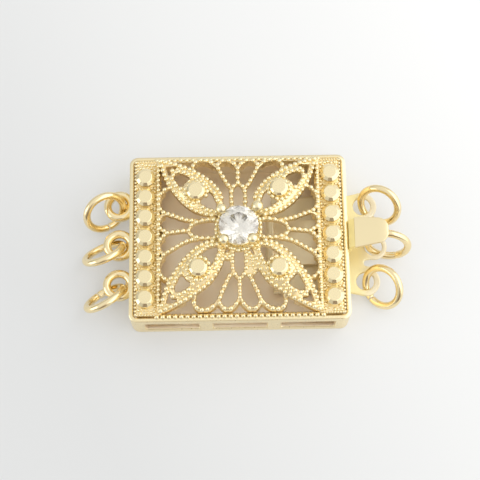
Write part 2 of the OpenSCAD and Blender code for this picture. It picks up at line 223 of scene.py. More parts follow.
def pierced_sheet(u, v, metal, outer, inner, wrap=False):
    """A sheet over a grid (u, v), cut where the signed distance metal is positive, with smooth
    outlines by marching squares. outer and inner give the places (n, 3) of its two faces from
    (u, v, metal), and upright walls join them along every outline."""
    if wrap:
        metal = np.concatenate([metal, metal[:, :1]], 1)
        u = np.append(u, 2 * u[-1] - u[-2])
    uu, vv = np.meshgrid(u, v)
    solid = metal < 0
    cross_u = solid[:, :-1] != solid[:, 1:]
    cross_v = solid[:-1] != solid[1:]
    tu = np.clip(metal[:, :-1] / (metal[:, :-1] - metal[:, 1:] + 1e-15), 0.04, 0.96)
    tv = np.clip(metal[:-1] / (metal[:-1] - metal[1:] + 1e-15), 0.04, 0.96)
    number = [np.full(s, -1) for s in (solid.shape, cross_u.shape, cross_v.shape)]
    start = 0
    for numbers, mask in zip(number, (solid, cross_u, cross_v)):
        numbers[mask] = start + np.arange(mask.sum())
        start += mask.sum()
    flat_u = np.concatenate([uu[solid], (uu[:, :-1] + tu * np.diff(uu, axis=1))[cross_u], uu[:-1][cross_v]])
    flat_v = np.concatenate([vv[solid], vv[:, :-1][cross_u], (vv[:-1] + tv * np.diff(vv, axis=0))[cross_v]])
    depth = np.concatenate([metal[solid], np.zeros(cross_u.sum() + cross_v.sum())])
    at, on_u, on_v = number
    local = np.stack([
        at[:-1, :-1], at[:-1, 1:], at[1:, 1:], at[1:, :-1],
        on_u[:-1], on_v[:, 1:], on_u[1:], on_v[:, :-1],
    ], -1)
    case = solid[:-1, :-1] + 2 * solid[:-1, 1:] + 4 * solid[1:, 1:] + 8 * solid[1:, :-1]
    faces, rims = {3: [], 4: [], 5: []}, []
    for value, shapes in CELL_FACES.items():
        cells = local[case == value]
        for shape in shapes:
            faces[len(shape)].append(cells[:, shape])
            for a, b in zip(shape, shape[1:] + shape[:1]):
                if a > 3 and b > 3:
                    rims.append(cells[:, (a, b)])
    outer_faces = [np.concatenate(f) for f in faces.values() if f]
    inner_faces = [f[:, ::-1] + start for f in outer_faces]
    rim = np.concatenate(rims)
    walls = np.stack([rim[:, 1], rim[:, 0], rim[:, 0] + start, rim[:, 1] + start], -1)
    points = np.concatenate([outer(flat_u, flat_v, depth), inner(flat_u, flat_v, depth)])
    return points, outer_faces + inner_faces + [walls]


def level_sheet(x, y, metal, high, low):
    """A pierced sheet over a level grid. high and low give the heights of its upper and lower
    faces from (x, y, metal)."""
    def face(height):
        return lambda u, v, depth: np.stack([u, v, height(u, v, depth)], -1)

    return pierced_sheet(x, y, metal, face(high), face(low))


def grid_over(half_x, half_y, step):
    """The grid lines across and along a rectangle round the origin, with one to spare all round."""
    return (np.arange(-half - step, half + 1.5 * step, step) for half in (half_x, half_y))


def eased(metal, r):
    """How far a face drops towards its outline, to round the edge with radius r."""
    k = np.clip(1 + metal / r, 0, 1)
    return r * (1 - np.sqrt(1 - k ** 2))


SEAM = 0.002
# The part of the walls with the inside's finish, whose pale tone is partly painted light: how far behind the
# outer skin and below the rim
SKIN, RIM_BAND = 0.15, 0.3


def welded(piece):
    """Joins the seam of a sheet that closes on itself."""
    work = bmesh.new()
    work.from_mesh(piece.data)
    bmesh.ops.remove_doubles(work, verts=work.verts, dist=SEAM * MM)
    work.to_mesh(piece.data)
    work.free()
    return piece


def lined(piece, lining):
    """Gives the faces of the walls that lie behind their outer skin, below the rim, the finish
    of the inside: a matter plating whose tone is pushed pale as painted light for the shaded inside."""
    mesh = piece.data
    mesh.materials.append(lining)
    middle = np.empty(3 * len(mesh.polygons))
    mesh.polygons.foreach_get("center", middle)
    x, y, z = middle.reshape(-1, 3).T / MM
    behind = (inside_box(x, y, WALL_X, WALL_Y, CORNER_R) < -SKIN) & (z < WALL_Z - RIM_BAND)
    mesh.polygons.foreach_set("material_index", behind.astype(np.int32))


# Materials

def node_group(name, inputs, outputs):
    """An empty shader group with (socket type, name, default) inputs and (type, name) outputs."""
    group = bpy.data.node_groups.new(name, "ShaderNodeTree")
    for kind, label, value in inputs:
        socket = group.interface.new_socket(label, in_out="INPUT", socket_type=kind)
        socket.default_value = value
    for kind, label in outputs:
        group.interface.new_socket(label, in_out="OUTPUT", socket_type=kind)
    return group, group.nodes.new("NodeGroupInput"), group.nodes.new("NodeGroupOutput")


def add(tree, kind, **values):
    """A node with its settings and the default values of its sockets."""
    node = tree.nodes.new(kind)
    for key, value in values.items():
        if hasattr(node, key):
            setattr(node, key, value)
        else:
            node.inputs[key.replace("_", " ")].default_value = value
    return node


def connect(tree, *links):
    """Links sockets. Each link is (node, output, node, input)."""
    for source, given, target, taken in links:
        tree.links.new(source.outputs[given], target.inputs[taken])


# The sockets of a colour mix by their place: its two colours and its result
FIRST, SECOND, MIXED = 6, 7, 2


def colour_mix(tree, first, second):
    """A mix of two fixed colours by its factor."""
    mix = add(tree, "ShaderNodeMix", data_type="RGBA")
    mix.inputs[FIRST].default_value = (*first, 1)
    mix.inputs[SECOND].default_value = (*second, 1)
    return mix


def new_material(name):
    """A material of nodes, with its tree and its shader."""
    material = bpy.data.materials.new(name)
    material.use_nodes = True
    return material, material.node_tree, material.node_tree.nodes["Principled BSDF"]


def plating_group():
    """Plated metal: slow clouds of two tones, fine polishing marks in the roughness,
    and a low dimpled relief."""
    group, given, out = node_group(
        "plating",
        [
            ("NodeSocketColor", "Tone", (0.9, 0.7, 0.4, 1)),
            ("NodeSocketColor", "Deep Tone", (0.8, 0.55, 0.25, 1)),
            ("NodeSocketFloat", "Cloud Scale", 300.0),
            ("NodeSocketFloat", "Mark Scale", 4000.0),
            ("NodeSocketFloat", "Roughness Low", 0.12),
            ("NodeSocketFloat", "Roughness High", 0.3),
        ],
        [("NodeSocketColor", "Color"), ("NodeSocketFloat", "Roughness"), ("NodeSocketFloat", "Height")],
    )
    place = add(group, "ShaderNodeTexCoord")
    cloud = add(group, "ShaderNodeTexNoise", Detail=3.0, Roughness=0.55)
    marks = add(group, "ShaderNodeTexNoise", Detail=4.0, Roughness=0.6)
    relief = add(group, "ShaderNodeTexNoise", Detail=2.0, Roughness=0.5)
    tone = add(group, "ShaderNodeMix", data_type="RGBA")
    rough = add(group, "ShaderNodeMapRange", From_Min=0.35, From_Max=0.65)
    connect(
        group,
        (place, "Object", cloud, "Vector"),
        (place, "Object", marks, "Vector"),
        (place, "Object", relief, "Vector"),
        (given, "Cloud Scale", cloud, "Scale"),
        (given, "Mark Scale", marks, "Scale"),
        (given, "Mark Scale", relief, "Scale"),
        (given, "Tone", tone, FIRST),
        (given, "Deep Tone", tone, SECOND),
        (cloud, "Fac", tone, "Factor"),
        (marks, "Fac", rough, "Value"),
        (given, "Roughness Low", rough, "To Min"),
        (given, "Roughness High", rough, "To Max"),
        (tone, MIXED, out, "Color"),
        (rough, "Result", out, "Roughness"),
        (relief, "Fac", out, "Height"),
    )
    return group


PLATING = plating_group()
CLOUD_SCALE, RELIEF_SHARE = 260.0, 0.35


def plated_metal(name, tone, deep_tone, rough, relief=0.02, metallic=1.0, mark_scale=3000.0):
    """Gold-plated brass: metallic, with the plating group's clouds, marks and low relief.
    rough is the range of its roughness, and relief the depth of its dimples in millimetres."""
    material, tree, shader = new_material(name)
    shader.inputs["Metallic"].default_value = metallic
    plating = add(tree, "ShaderNodeGroup", node_tree=PLATING, Tone=(*tone, 1), Deep_Tone=(*deep_tone, 1),
                  Cloud_Scale=CLOUD_SCALE, Mark_Scale=mark_scale,
                  Roughness_Low=rough[0], Roughness_High=rough[1])
    bump = add(tree, "ShaderNodeBump", Strength=RELIEF_SHARE, Distance=relief * MM)
    connect(
        tree,
        (plating, "Color", shader, "Base Color"),
        (plating, "Roughness", shader, "Roughness"),
        (plating, "Height", bump, "Height"),
        (bump, "Normal", shader, "Normal"),
    )
    return material


def toned_along(material, stops):
    """Lets a plated metal's tone change along X. stops gives (millimetres, tone) in order."""
    tree = material.node_tree
    plating = next(node for node in tree.nodes if node.type == "GROUP")
    first, last = stops[0][0], stops[-1][0]
    place = add(tree, "ShaderNodeTexCoord")
    split = add(tree, "ShaderNodeSeparateXYZ")
    share = add(tree, "ShaderNodeMapRange", From_Min=first * MM, From_Max=last * MM)
    ramp = add(tree, "ShaderNodeValToRGB")
    marks = ramp.color_ramp.elements
    marks[0].color = (*stops[0][1], 1)
    marks[1].color = (*stops[-1][1], 1)
    for x, tone in stops[1:-1]:
        marks.new((x - first) / (last - first)).color = (*tone, 1)
    connect(
        tree,
        (place, "Object", split, "Vector"),
        (split, "X", share, "Value"),
        (share, "Result", ramp, "Fac"),
        (ramp, "Color", plating, "Tone"),
        (ramp, "Color", plating, "Deep Tone"),
    )


def cut_stone(name):
    """Clear cut stone: high refraction with a trace of tint in its body."""
    material, tree, shader = new_material(name)
    shader.inputs["Transmission Weight"].default_value = 1.0
    shader.inputs["IOR"].default_value = 2.0
    shader.inputs["Roughness"].default_value = 0.14
    place = add(tree, "ShaderNodeTexCoord")
    haze = add(tree, "ShaderNodeTexNoise", Scale=900.0, Detail=2.0)
    tint = colour_mix(tree, (1.0, 0.96, 0.86), (1.0, 0.94, 0.82))
    connect(
        tree,
        (place, "Object", haze, "Vector"),
        (haze, "Fac", tint, "Factor"),
        (tint, MIXED, shader, "Base Color"),
    )
    return material


box_gold = plated_metal("box plating", (0.96, 0.82, 0.51), (0.94, 0.79, 0.47), (0.26, 0.36), relief=0.008)
# The inside's plating: a matter, part-diffuse finish whose tone is also pushed pale as painted light, to
# brighten the shaded inside of the box.
lightened_inside_gold = plated_metal("inside plating", (1.0, 0.92, 0.73), (0.97, 0.80, 0.60), (0.30, 0.34),
                          relief=0.002, metallic=0.45)
cast_gold = plated_metal("cast plating", (0.96, 0.81, 0.50), (0.93, 0.73, 0.39), (0.22, 0.38),
                         relief=0.03, mark_scale=5000.0)
bead_gold = plated_metal("bead plating", (0.98, 0.87, 0.57), (0.96, 0.82, 0.50), (0.20, 0.32),
                         mark_scale=4000.0)
stud_gold = plated_metal("stud plating", (0.95, 0.82, 0.52), (0.93, 0.78, 0.46), (0.20, 0.28), relief=0.005)
wire_gold = plated_metal("wire plating", (0.97, 0.82, 0.51), (0.94, 0.76, 0.42), (0.10, 0.20), relief=0.01)
strip_gold = plated_metal("strip plating", (0.97, 0.82, 0.50), (0.96, 0.81, 0.49), (0.28, 0.32),
                          relief=0.002)
tongue_gold = plated_metal("tongue plating", (0.98, 0.86, 0.55), (0.97, 0.84, 0.52), (0.3, 0.4),
                           relief=0.004, metallic=0.3)
# Along X the tongue's tone goes from a paler tone inside the box to a saturated yellow from the wall to just
# past it, then paler again on the ears. The saturated yellow band is painted reflection: it stands in for
# gold-on-gold light bounced from the wall and the tab above.
toned_along(tongue_gold, [
    (WALL_X - 0.8, (0.97, 0.86, 0.58)), (WALL_X - 0.1, (1.0, 0.87, 0.46)),
    (WALL_X + 1.2, (1.0, 0.87, 0.46)), (WALL_X + 2.8, (0.93, 0.83, 0.60)),
])
leaf_gold = plated_metal("leaf plating", (0.95, 0.83, 0.56), (0.94, 0.81, 0.54), (0.30, 0.34),
                         relief=0.002, metallic=0.55)
# The riser and its slant: a saturated yellow tone as painted reflection, standing in for the light that the
# gold wall bounces onto them.
bend_reflection_gold = plated_metal("bend plating", (1.0, 0.86, 0.40), (1.0, 0.85, 0.38), (0.3, 0.4),
                         relief=0.003, metallic=0.3)
stone = cut_stone("clear stone")


# The pierced top's form

PANEL_X, PANEL_Y = WALL_X - 2.9, WALL_Y - 0.8
PANEL_EASE, PANEL_STEP = 0.16, 0.1
FRAME_FACE, FRAME_EASE, FRAME_STEP, RIM_GAP = WALL_Z + 0.25, 0.12, 0.12, 0.16
DOME_EDGE, DOME_RISE, LEAF_LIFT = 1.0, 2.0, 0.75
LEAF_FROM, LEAF_TO, LEAF_HALF = 2.4, 11.6, 1.9
CAST_T = 0.5
RIB_W, EDGE_HALF = 0.4, 0.18
WELL_R, SEAT_R = 1.5, 2.45
COLLAR_BORE, COLLAR_FOOT = 1.52, 2.02
# The collar's upper end: radius and height
COLLAR_LIP = [(2.0, 7.6), (1.94, 7.78), (1.84, 7.84), (COLLAR_BORE, 7.5)]
STUD_X, STUD_COUNT, STUD_SIDES, STUD_SLOPE = WALL_X - 1.75, 7, 12, 0.82
STUD_R, STUD_TOP_R, STUD_Z = 1.04, 0.69, WALL_Z + 1.15
BOSS_R, BOSS_TOP_R, BOSS_Z = 0.98, 0.73, WALL_Z + 3.85
# Each column of studs: its x, the y of its middle and its spacing
STUD_COLUMNS = [(-STUD_X, -0.12, 2.19), (STUD_X, -0.02, 2.235)]
BOSSES = np.array([(-4.37, 3.96), (4.23, 4.18), (-4.19, -4.24), (4.02, -4.3)])
# Each prong: x, y and the radius of its rounded end
PRONGS = [(-1.75, 1.66, 0.57), (1.93, 1.9, 0.62), (-1.55, -1.58, 0.57), (1.4, -1.54, 0.56)]
PRONG_R, PRONG_Z = 0.35, 8.86

# One quarter of the face, charted: x, y of the middle of each rib
LEAF_HIGH = [(1.75, 3.3), (1.9, 3.8), (2.3, 4.5), (2.9, 5.3), (3.6, 5.9),
             (4.4, 6.45), (5.3, 7), (6.5, 7.55), (7.4, 7.9), (8.15, 8.15)]
LEAF_LOW = [(2.7, 1.4), (3.6, 1.65), (4.5, 2.1), (5.3, 2.75), (6, 3.5),
            (6.65, 4.4), (7.15, 5.2), (7.6, 6.2), (7.9, 7.1), (8.15, 8.15)]
OVAL = [(1.9, 0.95), (3.2, 0.98), (4, 0.9), (4.6, 0.7), (5, 0.4), (5.15, 0)]
FAN_SIDE = [(4.3, 1), (4.9, 1.05), (5.65, 1.25), (6.7, 1.75), (7.3, 2.05), (7.8, 2.3)]
FAN_MID = [(5.15, 0), (6.2, 0), (7.4, 0)]
LOOP_ARC = [(7.5, 2.15), (8.1, 1.95), (8.35, 1.25), (8.2, 0.65), (7.8, 0.3), (7.3, 0)]
LONG_ARC = [(7.7, 2.3), (8.2, 2.8), (8.35, 3.6), (8.15, 4.35), (7.65, 4.85), (7.1, 5.05)]
LENS = [(0.68, 2.2), (0.72, 3.9), (0.6, 4.5), (0.3, 4.95), (0, 5.15)]
SPIRE = [(0, 5.15), (0, 6.2), (0, 7)]
SPIRE_ARC = [(0, 7), (0.3, 7.5), (0.75, 7.95), (1.25, 8.1), (1.75, 7.95), (2.1, 7.5)]
SIDE_ARC = [(0.6, 4.5), (1.1, 5), (1.45, 5.7), (1.8, 6.4), (2.1, 7.1), (2.5, 7.6),
            (3.1, 8), (3.8, 8.15), (4.4, 7.95), (4.7, 7.45), (4.6, 6.85)]
# The ribs, in the order in which their beads are strung, and those with wider strung beads
CHARTS = (LEAF_HIGH, LEAF_LOW, OVAL, FAN_SIDE, FAN_MID, LOOP_ARC, LONG_ARC, LENS, SPIRE, SPIRE_ARC, SIDE_ARC)
WIDE_CHARTS = (LENS, SPIRE, SPIRE_ARC)
RIBS = [smooth_curve(chart) for chart in CHARTS]
HEART_HOLE = [(4.1, 2.85), (4.05, 3.25), (3.5, 3.45), (3.35, 3.9), (3, 4), (2.65, 3.6),
              (2.5, 3.15), (2.25, 2.65), (2.2, 2), (2.5, 2), (3.3, 2.25), (3.65, 2.55)]
KITE_HOLE = [(6.65, 6.35), (6.1, 6.4), (5.5, 6.15), (5.05, 5.8), (5.1, 5.5),
             (5.45, 5.3), (5.8, 4.8), (6.1, 4.8), (6.35, 5.35), (6.65, 5.8)]
TIP_HOLE = [(7.25, 6.35), (7.6, 7.45), (6.4, 7.4), (6.45, 7.1), (7.05, 7), (7.05, 6.4)]
FRONT_WEBS = [[(0.7, -2.1), (1.8, -3.1), (2.15, -4.2), (1.45, -4.95), (0.75, -4.6)],
              [(-0.7, -2.1), (-1.6, -2.8), (-1.6, -3.3), (-1.1, -3.4), (-0.75, -3.1)]]
HOLES = [np.array(h, float) for h in (HEART_HOLE, KITE_HOLE, TIP_HOLE)]
LEAF_ROOT = [(1.9, 1.2), (1.25, 2.1)]
LEAF = np.concatenate([smooth_curve(LEAF_HIGH), smooth_curve(LEAF_LOW)[::-1], LEAF_ROOT])


def dome(x, y):
    """Height of the dome over the walls: low at the edges, full in the middle."""
    across = 1 - np.minimum(np.abs(x) / (PANEL_X + 0.3), 1) ** 2.5
    along = 1 - np.minimum(np.abs(y) / (PANEL_Y + 0.45), 1) ** 2
    return DOME_EDGE + DOME_RISE * across * along


def leaf_crown(x, y):
    """Extra height of the four diagonal leaves, greatest along their middle line."""
    u = (np.abs(x) + np.abs(y)) / math.sqrt(2)
    v = (np.abs(x) - np.abs(y)) / math.sqrt(2)
    k = np.clip((u - LEAF_FROM) / (LEAF_TO - LEAF_FROM), 0, 1)
    return LEAF_LIFT * np.sin(np.pi * k ** 0.7) * np.maximum(0, 1 - (v / LEAF_HALF) ** 2)


def leaf_metal(x, y):
    """Signed distance to the metal of the leaves, their openings cut out, with the two small
    webs that join the front leaves to the lens between them."""
    ax, ay = np.abs(x), np.abs(y)
    leaves = [inside_outline(ax, ay, LEAF)] + [-inside_outline(ax, ay, hole) for hole in HOLES]
    webs = [inside_outline(x, y, np.array(web)) for web in FRONT_WEBS]
    return np.minimum.reduce([np.maximum.reduce(leaves)] + webs)


def panel_metal(x, y):
    """Signed distance to the metal of the domed panel: ribs, leaves and the ring under the stone."""
    ax, ay = np.abs(x), np.abs(y)
    ribs = [distance_to(ax, ay, rib) - RIB_W / 2 for rib in RIBS]
    seat = np.hypot(x, y) - SEAT_R
    edge = np.abs(ax - PANEL_X + EDGE_HALF) - EDGE_HALF
    metal = np.minimum.reduce([leaf_metal(x, y), seat, edge] + ribs)
    return np.maximum.reduce([metal, ax - PANEL_X, ay - PANEL_Y, WELL_R - np.hypot(x, y)])


def panel_z(x, y):
    """Height of the panel's face over the box's foot."""
    return WALL_Z + dome(x, y) + leaf_crown(x, y)


def filigree_panel():
    """The domed panel as a pierced sheet: its face follows the dome, its edges are eased,
    and towards the border it reaches down to the frame."""
    x, y = grid_over(PANEL_X, PANEL_Y, PANEL_STEP)

    def face(u, v, depth):
        return panel_z(u, v) - eased(depth, PANEL_EASE)

    def under(u, v, depth):
        skirt = (np.abs(u) > PANEL_X - 0.9) | (np.abs(v) > PANEL_Y - 0.9)
        return np.where(skirt, WALL_Z - 0.1, panel_z(u, v) - CAST_T)

    return level_sheet(x, y, panel_metal(*np.meshgrid(x, y)), face, under)


def filigree_frame():
    """The flat border and the two end columns that carry the studs, with eased edges."""
    x, y = grid_over(TOP_X, TOP_Y, FRAME_STEP)
    xx, yy = np.meshgrid(x, y)
    outside = inside_box(xx, yy, TOP_X - RIM_GAP, TOP_Y, 0.25)
    window = inside_box(xx, yy, PANEL_X - 0.45, TOP_Y - 0.22)

    def face(u, v, depth):
        return FRAME_FACE - eased(depth, FRAME_EASE)

    def under(u, v, depth):
        return np.full_like(u, TOP_LOW)

    return level_sheet(x, y, np.maximum(outside, -window), face, under)


def faceted_stud(at, r_foot, r_top, z_low, z_high):
    """A stud with flat sides: an upright foot, a ring of slanting facets and a flat top,
    its edges slightly broken."""
    ease = 0.025
    shoulder = z_high - STUD_SLOPE * (r_foot - r_top)
    profile = [
        (r_foot, z_low - 0.3), (r_foot, shoulder - ease),
        (r_foot - ease, shoulder + ease * STUD_SLOPE),
        (r_top + ease, z_high - ease * STUD_SLOPE), (r_top - ease, z_high),
    ]
    return capped_tube(turned(profile, STUD_SIDES, at, math.pi / STUD_SIDES))


def seat_and_prongs():
    """The collar under the stone and the four prongs with their rounded ends, each end an arc
    turned about the prong's axis."""
    base = panel_z(SEAT_R, 0) - 0.3
    parts = [closed_ring(turned([(COLLAR_BORE, base), (COLLAR_FOOT, base), *COLLAR_LIP], 48))]
    t = np.linspace(-1.15, math.pi / 2 - 0.05, 9)
    for x, y, r in PRONGS:
        bead = polar(r, t) + (0, PRONG_Z - 0.1 * r)
        prong = np.concatenate([[(PRONG_R, base), (PRONG_R, PRONG_Z - 0.3)], bead])
        parts.append(capped_tube(turned(prong, 20, (x, y))))
    return joined(*parts)


# Beads: one small ball, repeated over lists of places

def ball():
    """A twenty-faced solid with each face divided once and its points set on the unit sphere."""
    g = (1 + math.sqrt(5)) / 2
    p = np.array([(-1, g, 0), (1, g, 0), (-1, -g, 0), (1, -g, 0), (0, -1, g), (0, 1, g),
                  (0, -1, -g), (0, 1, -g), (g, 0, -1), (g, 0, 1), (-g, 0, -1), (-g, 0, 1)])
    f = np.array([(0, 11, 5), (0, 5, 1), (0, 1, 7), (0, 7, 10), (0, 10, 11), (1, 5, 9), (5, 11, 4),
                  (11, 10, 2), (10, 7, 6), (7, 1, 8), (3, 9, 4), (3, 4, 2), (3, 2, 6), (3, 6, 8),
                  (3, 8, 9), (4, 9, 5), (2, 4, 11), (6, 2, 10), (8, 6, 7), (9, 8, 1)])
    pairs = np.sort(np.concatenate([f[:, (0, 1)], f[:, (1, 2)], f[:, (2, 0)]]), 1)
    edges, place = np.unique(pairs, axis=0, return_inverse=True)
    ab, bc, ca = (place.reshape(-1)[k * len(f):(k + 1) * len(f)] + len(p) for k in range(3))
    a, b, c = f.T
    p = np.concatenate([p, p[edges].mean(1)])
    f = np.concatenate([np.stack(t, -1) for t in ((a, ab, ca), (b, bc, ab), (c, ca, bc), (ab, bc, ca))])
    return p / np.linalg.norm(p, axis=1)[:, None], f


BALL = ball()


def balls(places, radii):
    """Copies of the ball at the places (n, 3), each with its own radius."""
    shape, faces = BALL
    points = places[:, None] + shape * np.reshape(radii, (-1, 1, 1))
    starts = np.arange(len(points))[:, None, None] * len(shape)
    return points.reshape(-1, 3), [(faces + starts).reshape(-1, 3)]


def four_ways(points):
    """Places (n, 2) mirrored into the four quarters, those on an axis only once."""
    copies = np.concatenate([points * (sx, sy) for sx in (1, -1) for sy in (1, -1)])
    return copies[np.unique(np.round(copies, 3), axis=0, return_index=True)[1]]


def apart(points, others, least):
    """The points that lie at least that far from the others."""
    gap = np.linalg.norm(points[:, None] - others[None], axis=-1).min(1)
    return points[gap >= least]


def thinned(points, least):
    """Drops each point that lies too close to one before it."""
    gap = np.linalg.norm(points[:, None] - points[None], axis=-1)
    return points[~np.tril(gap < least, -1).any(1)]


BEAD_PITCH, WIDE_PITCH = 0.57, 0.68
HOLE_PITCH, HOLE_OFFSET = 0.46, 0.25
SEAT_BEADS, SEAT_BEADS_R = 32, 2.26
GRAIN_PITCH = 0.38
# The ranges of radii: strung beads, the grains between them, and the grains between the studs
STRUNG_R, GRAIN_R, STUD_GRAIN_R = (0.245, 0.285), (0.15, 0.24), (0.15, 0.22)
# The small beads in the gap between two studs: place across the column, and radius
GAP_BEADS = [(-0.98, 0.2), (-0.62, 0.16), (0.62, 0.16), (0.98, 0.2)]
# The bead rows along a column: place across, radius, and how far they stop short of the edge
COLUMN_ROWS = [(PANEL_X - 0.25, 0.22, 0.9), (PANEL_X + 0.2, 0.2, 0.5), (TOP_X - 0.12, 0.15, 0.15)]


def rib_beads():
    """Beads strung along the middle of every rib, further apart on the lens and the spire."""
    rows = []
    for chart, rib in zip(CHARTS, RIBS):
        pitch = WIDE_PITCH if chart in WIDE_CHARTS else BEAD_PITCH
        rows.append(four_ways(spaced_along(rib, pitch)))
    return thinned(np.concatenate(rows), 0.4)


def hole_beads():
    """Rows of beads round the openings of the leaves: each outline, moved outwards a little."""
    rows = []
    for hole in HOLES:
        closed = spaced_along(np.concatenate([hole, hole[:1]]), HOLE_PITCH / 4)
        run = np.roll(closed[:-1], -1, 0) - np.roll(closed[:-1], 1, 0)
        run /= np.linalg.norm(run, axis=1)[:, None]
        out = np.stack([run[:, 1], -run[:, 0]], -1)
        turning = np.sign(np.cross(closed[:-1], closed[1:]).sum())
        rows.append((closed[:-1] + turning * HOLE_OFFSET * out)[::4])
    places = four_ways(np.concatenate(rows))
    return apart(places[leaf_metal(*places.T) < -0.12], BOSSES, BOSS_R + 0.3)


def boss_beads():
    """A ring of beads round the foot of each leaf's boss, some of them over the openings."""
    rings = (BOSSES[:, None] + polar(BOSS_R + 0.15, angles(14))).reshape(-1, 2)
    return rings[leaf_metal(*rings.T) < 0.2]


def seat_beads(random):
    """An uneven ring of beads on the seat, close round the foot of the stone's collar."""
    a = (np.arange(SEAT_BEADS) + random.uniform(-0.22, 0.22, SEAT_BEADS)) * 2 * math.pi / SEAT_BEADS
    reach = SEAT_BEADS_R + random.uniform(-0.04, 0.1, SEAT_BEADS)
    return polar(reach, a)


def scattered(random, half_x, half_y, jitter):
    """A staggered grid of places, each moved a little at random."""
    row = np.arange(-half_x, half_x, GRAIN_PITCH)
    x, y = np.meshgrid(row, np.arange(-half_y, half_y, GRAIN_PITCH * 0.87))
    x = x + (np.arange(len(x)) % 2)[:, None] * GRAIN_PITCH / 2
    places = np.stack([x.ravel(), y.ravel()], -1)
    return places + random.uniform(-jitter, jitter, places.shape)


def filigree_beads(random):
    """All beads of the pierced top that sit on the dome."""
    strung = apart(rib_beads(), BOSSES, BOSS_R + 0.1)
    strung = np.concatenate([boss_beads(), apart(strung, boss_beads(), 0.4)])
    strung = np.concatenate([strung, thinned(apart(hole_beads(), strung, 0.38), 0.36)])
    seat = seat_beads(random)
    strung = np.concatenate([seat, apart(strung, seat, 0.36)])
    grains = scattered(random, PANEL_X, PANEL_Y, 0.09)
    grains = grains[leaf_metal(*grains.T) < -0.1]
    grains = apart(apart(grains, BOSSES, BOSS_R + 0.15), strung, 0.32)
    strung = strung[np.hypot(*strung.T) > SEAT_BEADS_R - 0.1]
    z_strung = panel_z(*strung.T) + 0.02
    z_grains = panel_z(*grains.T) - 0.02
    row = balls(np.column_stack([strung, z_strung]), random.uniform(*STRUNG_R, len(strung)))
    grain = balls(np.column_stack([grains, z_grains]), random.uniform(*GRAIN_R, len(grains)))
    return joined(row, grain)


def straight_beads(x, y, pitch):
    """Beads from one corner point to another, (x0, x1) and (y0, y1)."""
    return spaced_along(np.array([(x[0], y[0]), (x[1], y[1])]), pitch)


def border_rows():
    """The bead rows along the border and the columns, each as its places and its radius."""
    rows = []
    for side in (-1, 1):
        rows.append((straight_beads((-PANEL_X, PANEL_X), (side * (TOP_Y + 0.07),) * 2, 0.64), 0.27))
        for x, size, short in COLUMN_ROWS:
            rows.append((straight_beads((side * x,) * 2, (short - TOP_Y, TOP_Y - short), 2.5 * size), size))
        for end in (-1, 1):
            reach = np.array((PANEL_X + 0.3, TOP_X - 0.3)) * end
            rows.append((straight_beads(reach, (side * (TOP_Y - 0.1),) * 2, 0.29), 0.13))
    return rows


def border_beads(random):
    """Bead rows along the border and the columns, and the grain between the studs."""
    rows = border_rows()
    strung = np.concatenate([places for places, size in rows])
    radii = np.concatenate([np.full(len(places), size) for places, size in rows])
    on_panel = np.abs(np.abs(strung[:, 0]) - COLUMN_ROWS[0][0]) < 0.01
    z = np.where(on_panel, panel_z(*strung.T), FRAME_FACE) + 0.03
    z -= 0.18 * (np.abs(strung[:, 1]) > TOP_Y)
    grains = scattered(random, TOP_X, TOP_Y, 0.08)
    across, along = np.abs(grains).T
    grains = grains[(across > PANEL_X + 0.4) & (across < TOP_X - 0.3) & (along < TOP_Y - 0.3)]
    middles = stud_places()
    gaps = (middles[:-1] + middles[1:])[middles[:-1, 0] == middles[1:, 0]] / 2
    between = np.concatenate([gaps + (dx, 0) for dx, size in GAP_BEADS])
    between_r = np.repeat([size for dx, size in GAP_BEADS], len(gaps))
    grains = apart(apart(grains, middles, STUD_R + 0.1), between, 0.3)
    row = balls(np.column_stack([strung, z]), radii * random.uniform(0.96, 1.04, len(radii)))
    grain_r = random.uniform(*STUD_GRAIN_R, len(grains))
    grain = balls(np.column_stack([grains, np.full(len(grains), FRAME_FACE)]), grain_r)
    filling = balls(np.column_stack([between, np.full(len(between), FRAME_FACE + 0.1)]), between_r)
    return joined(row, grain, filling)


def stud_places():
    """The middles (n, 2) of all studs of both columns."""
    steps = np.arange(STUD_COUNT) - (STUD_COUNT - 1) / 2
    return np.concatenate([[(x, y + step * pitch) for step in steps] for x, y, pitch in STUD_COLUMNS])


def studs():
    """The studs of both end columns and the boss of each leaf."""
    parts = [faceted_stud(at, STUD_R, STUD_TOP_R, FRAME_FACE, STUD_Z) for at in stud_places()]
    feet = panel_z(*BOSSES.T) - 0.05
    parts += [faceted_stud(at, BOSS_R, BOSS_TOP_R, foot, BOSS_Z) for at, foot in zip(BOSSES, feet)]
    return joined(*parts)


# The stone

STONE_R, GIRDLE_Z = 2.05, 8.6
CROWN, PAVILION = math.radians(34), math.radians(41)


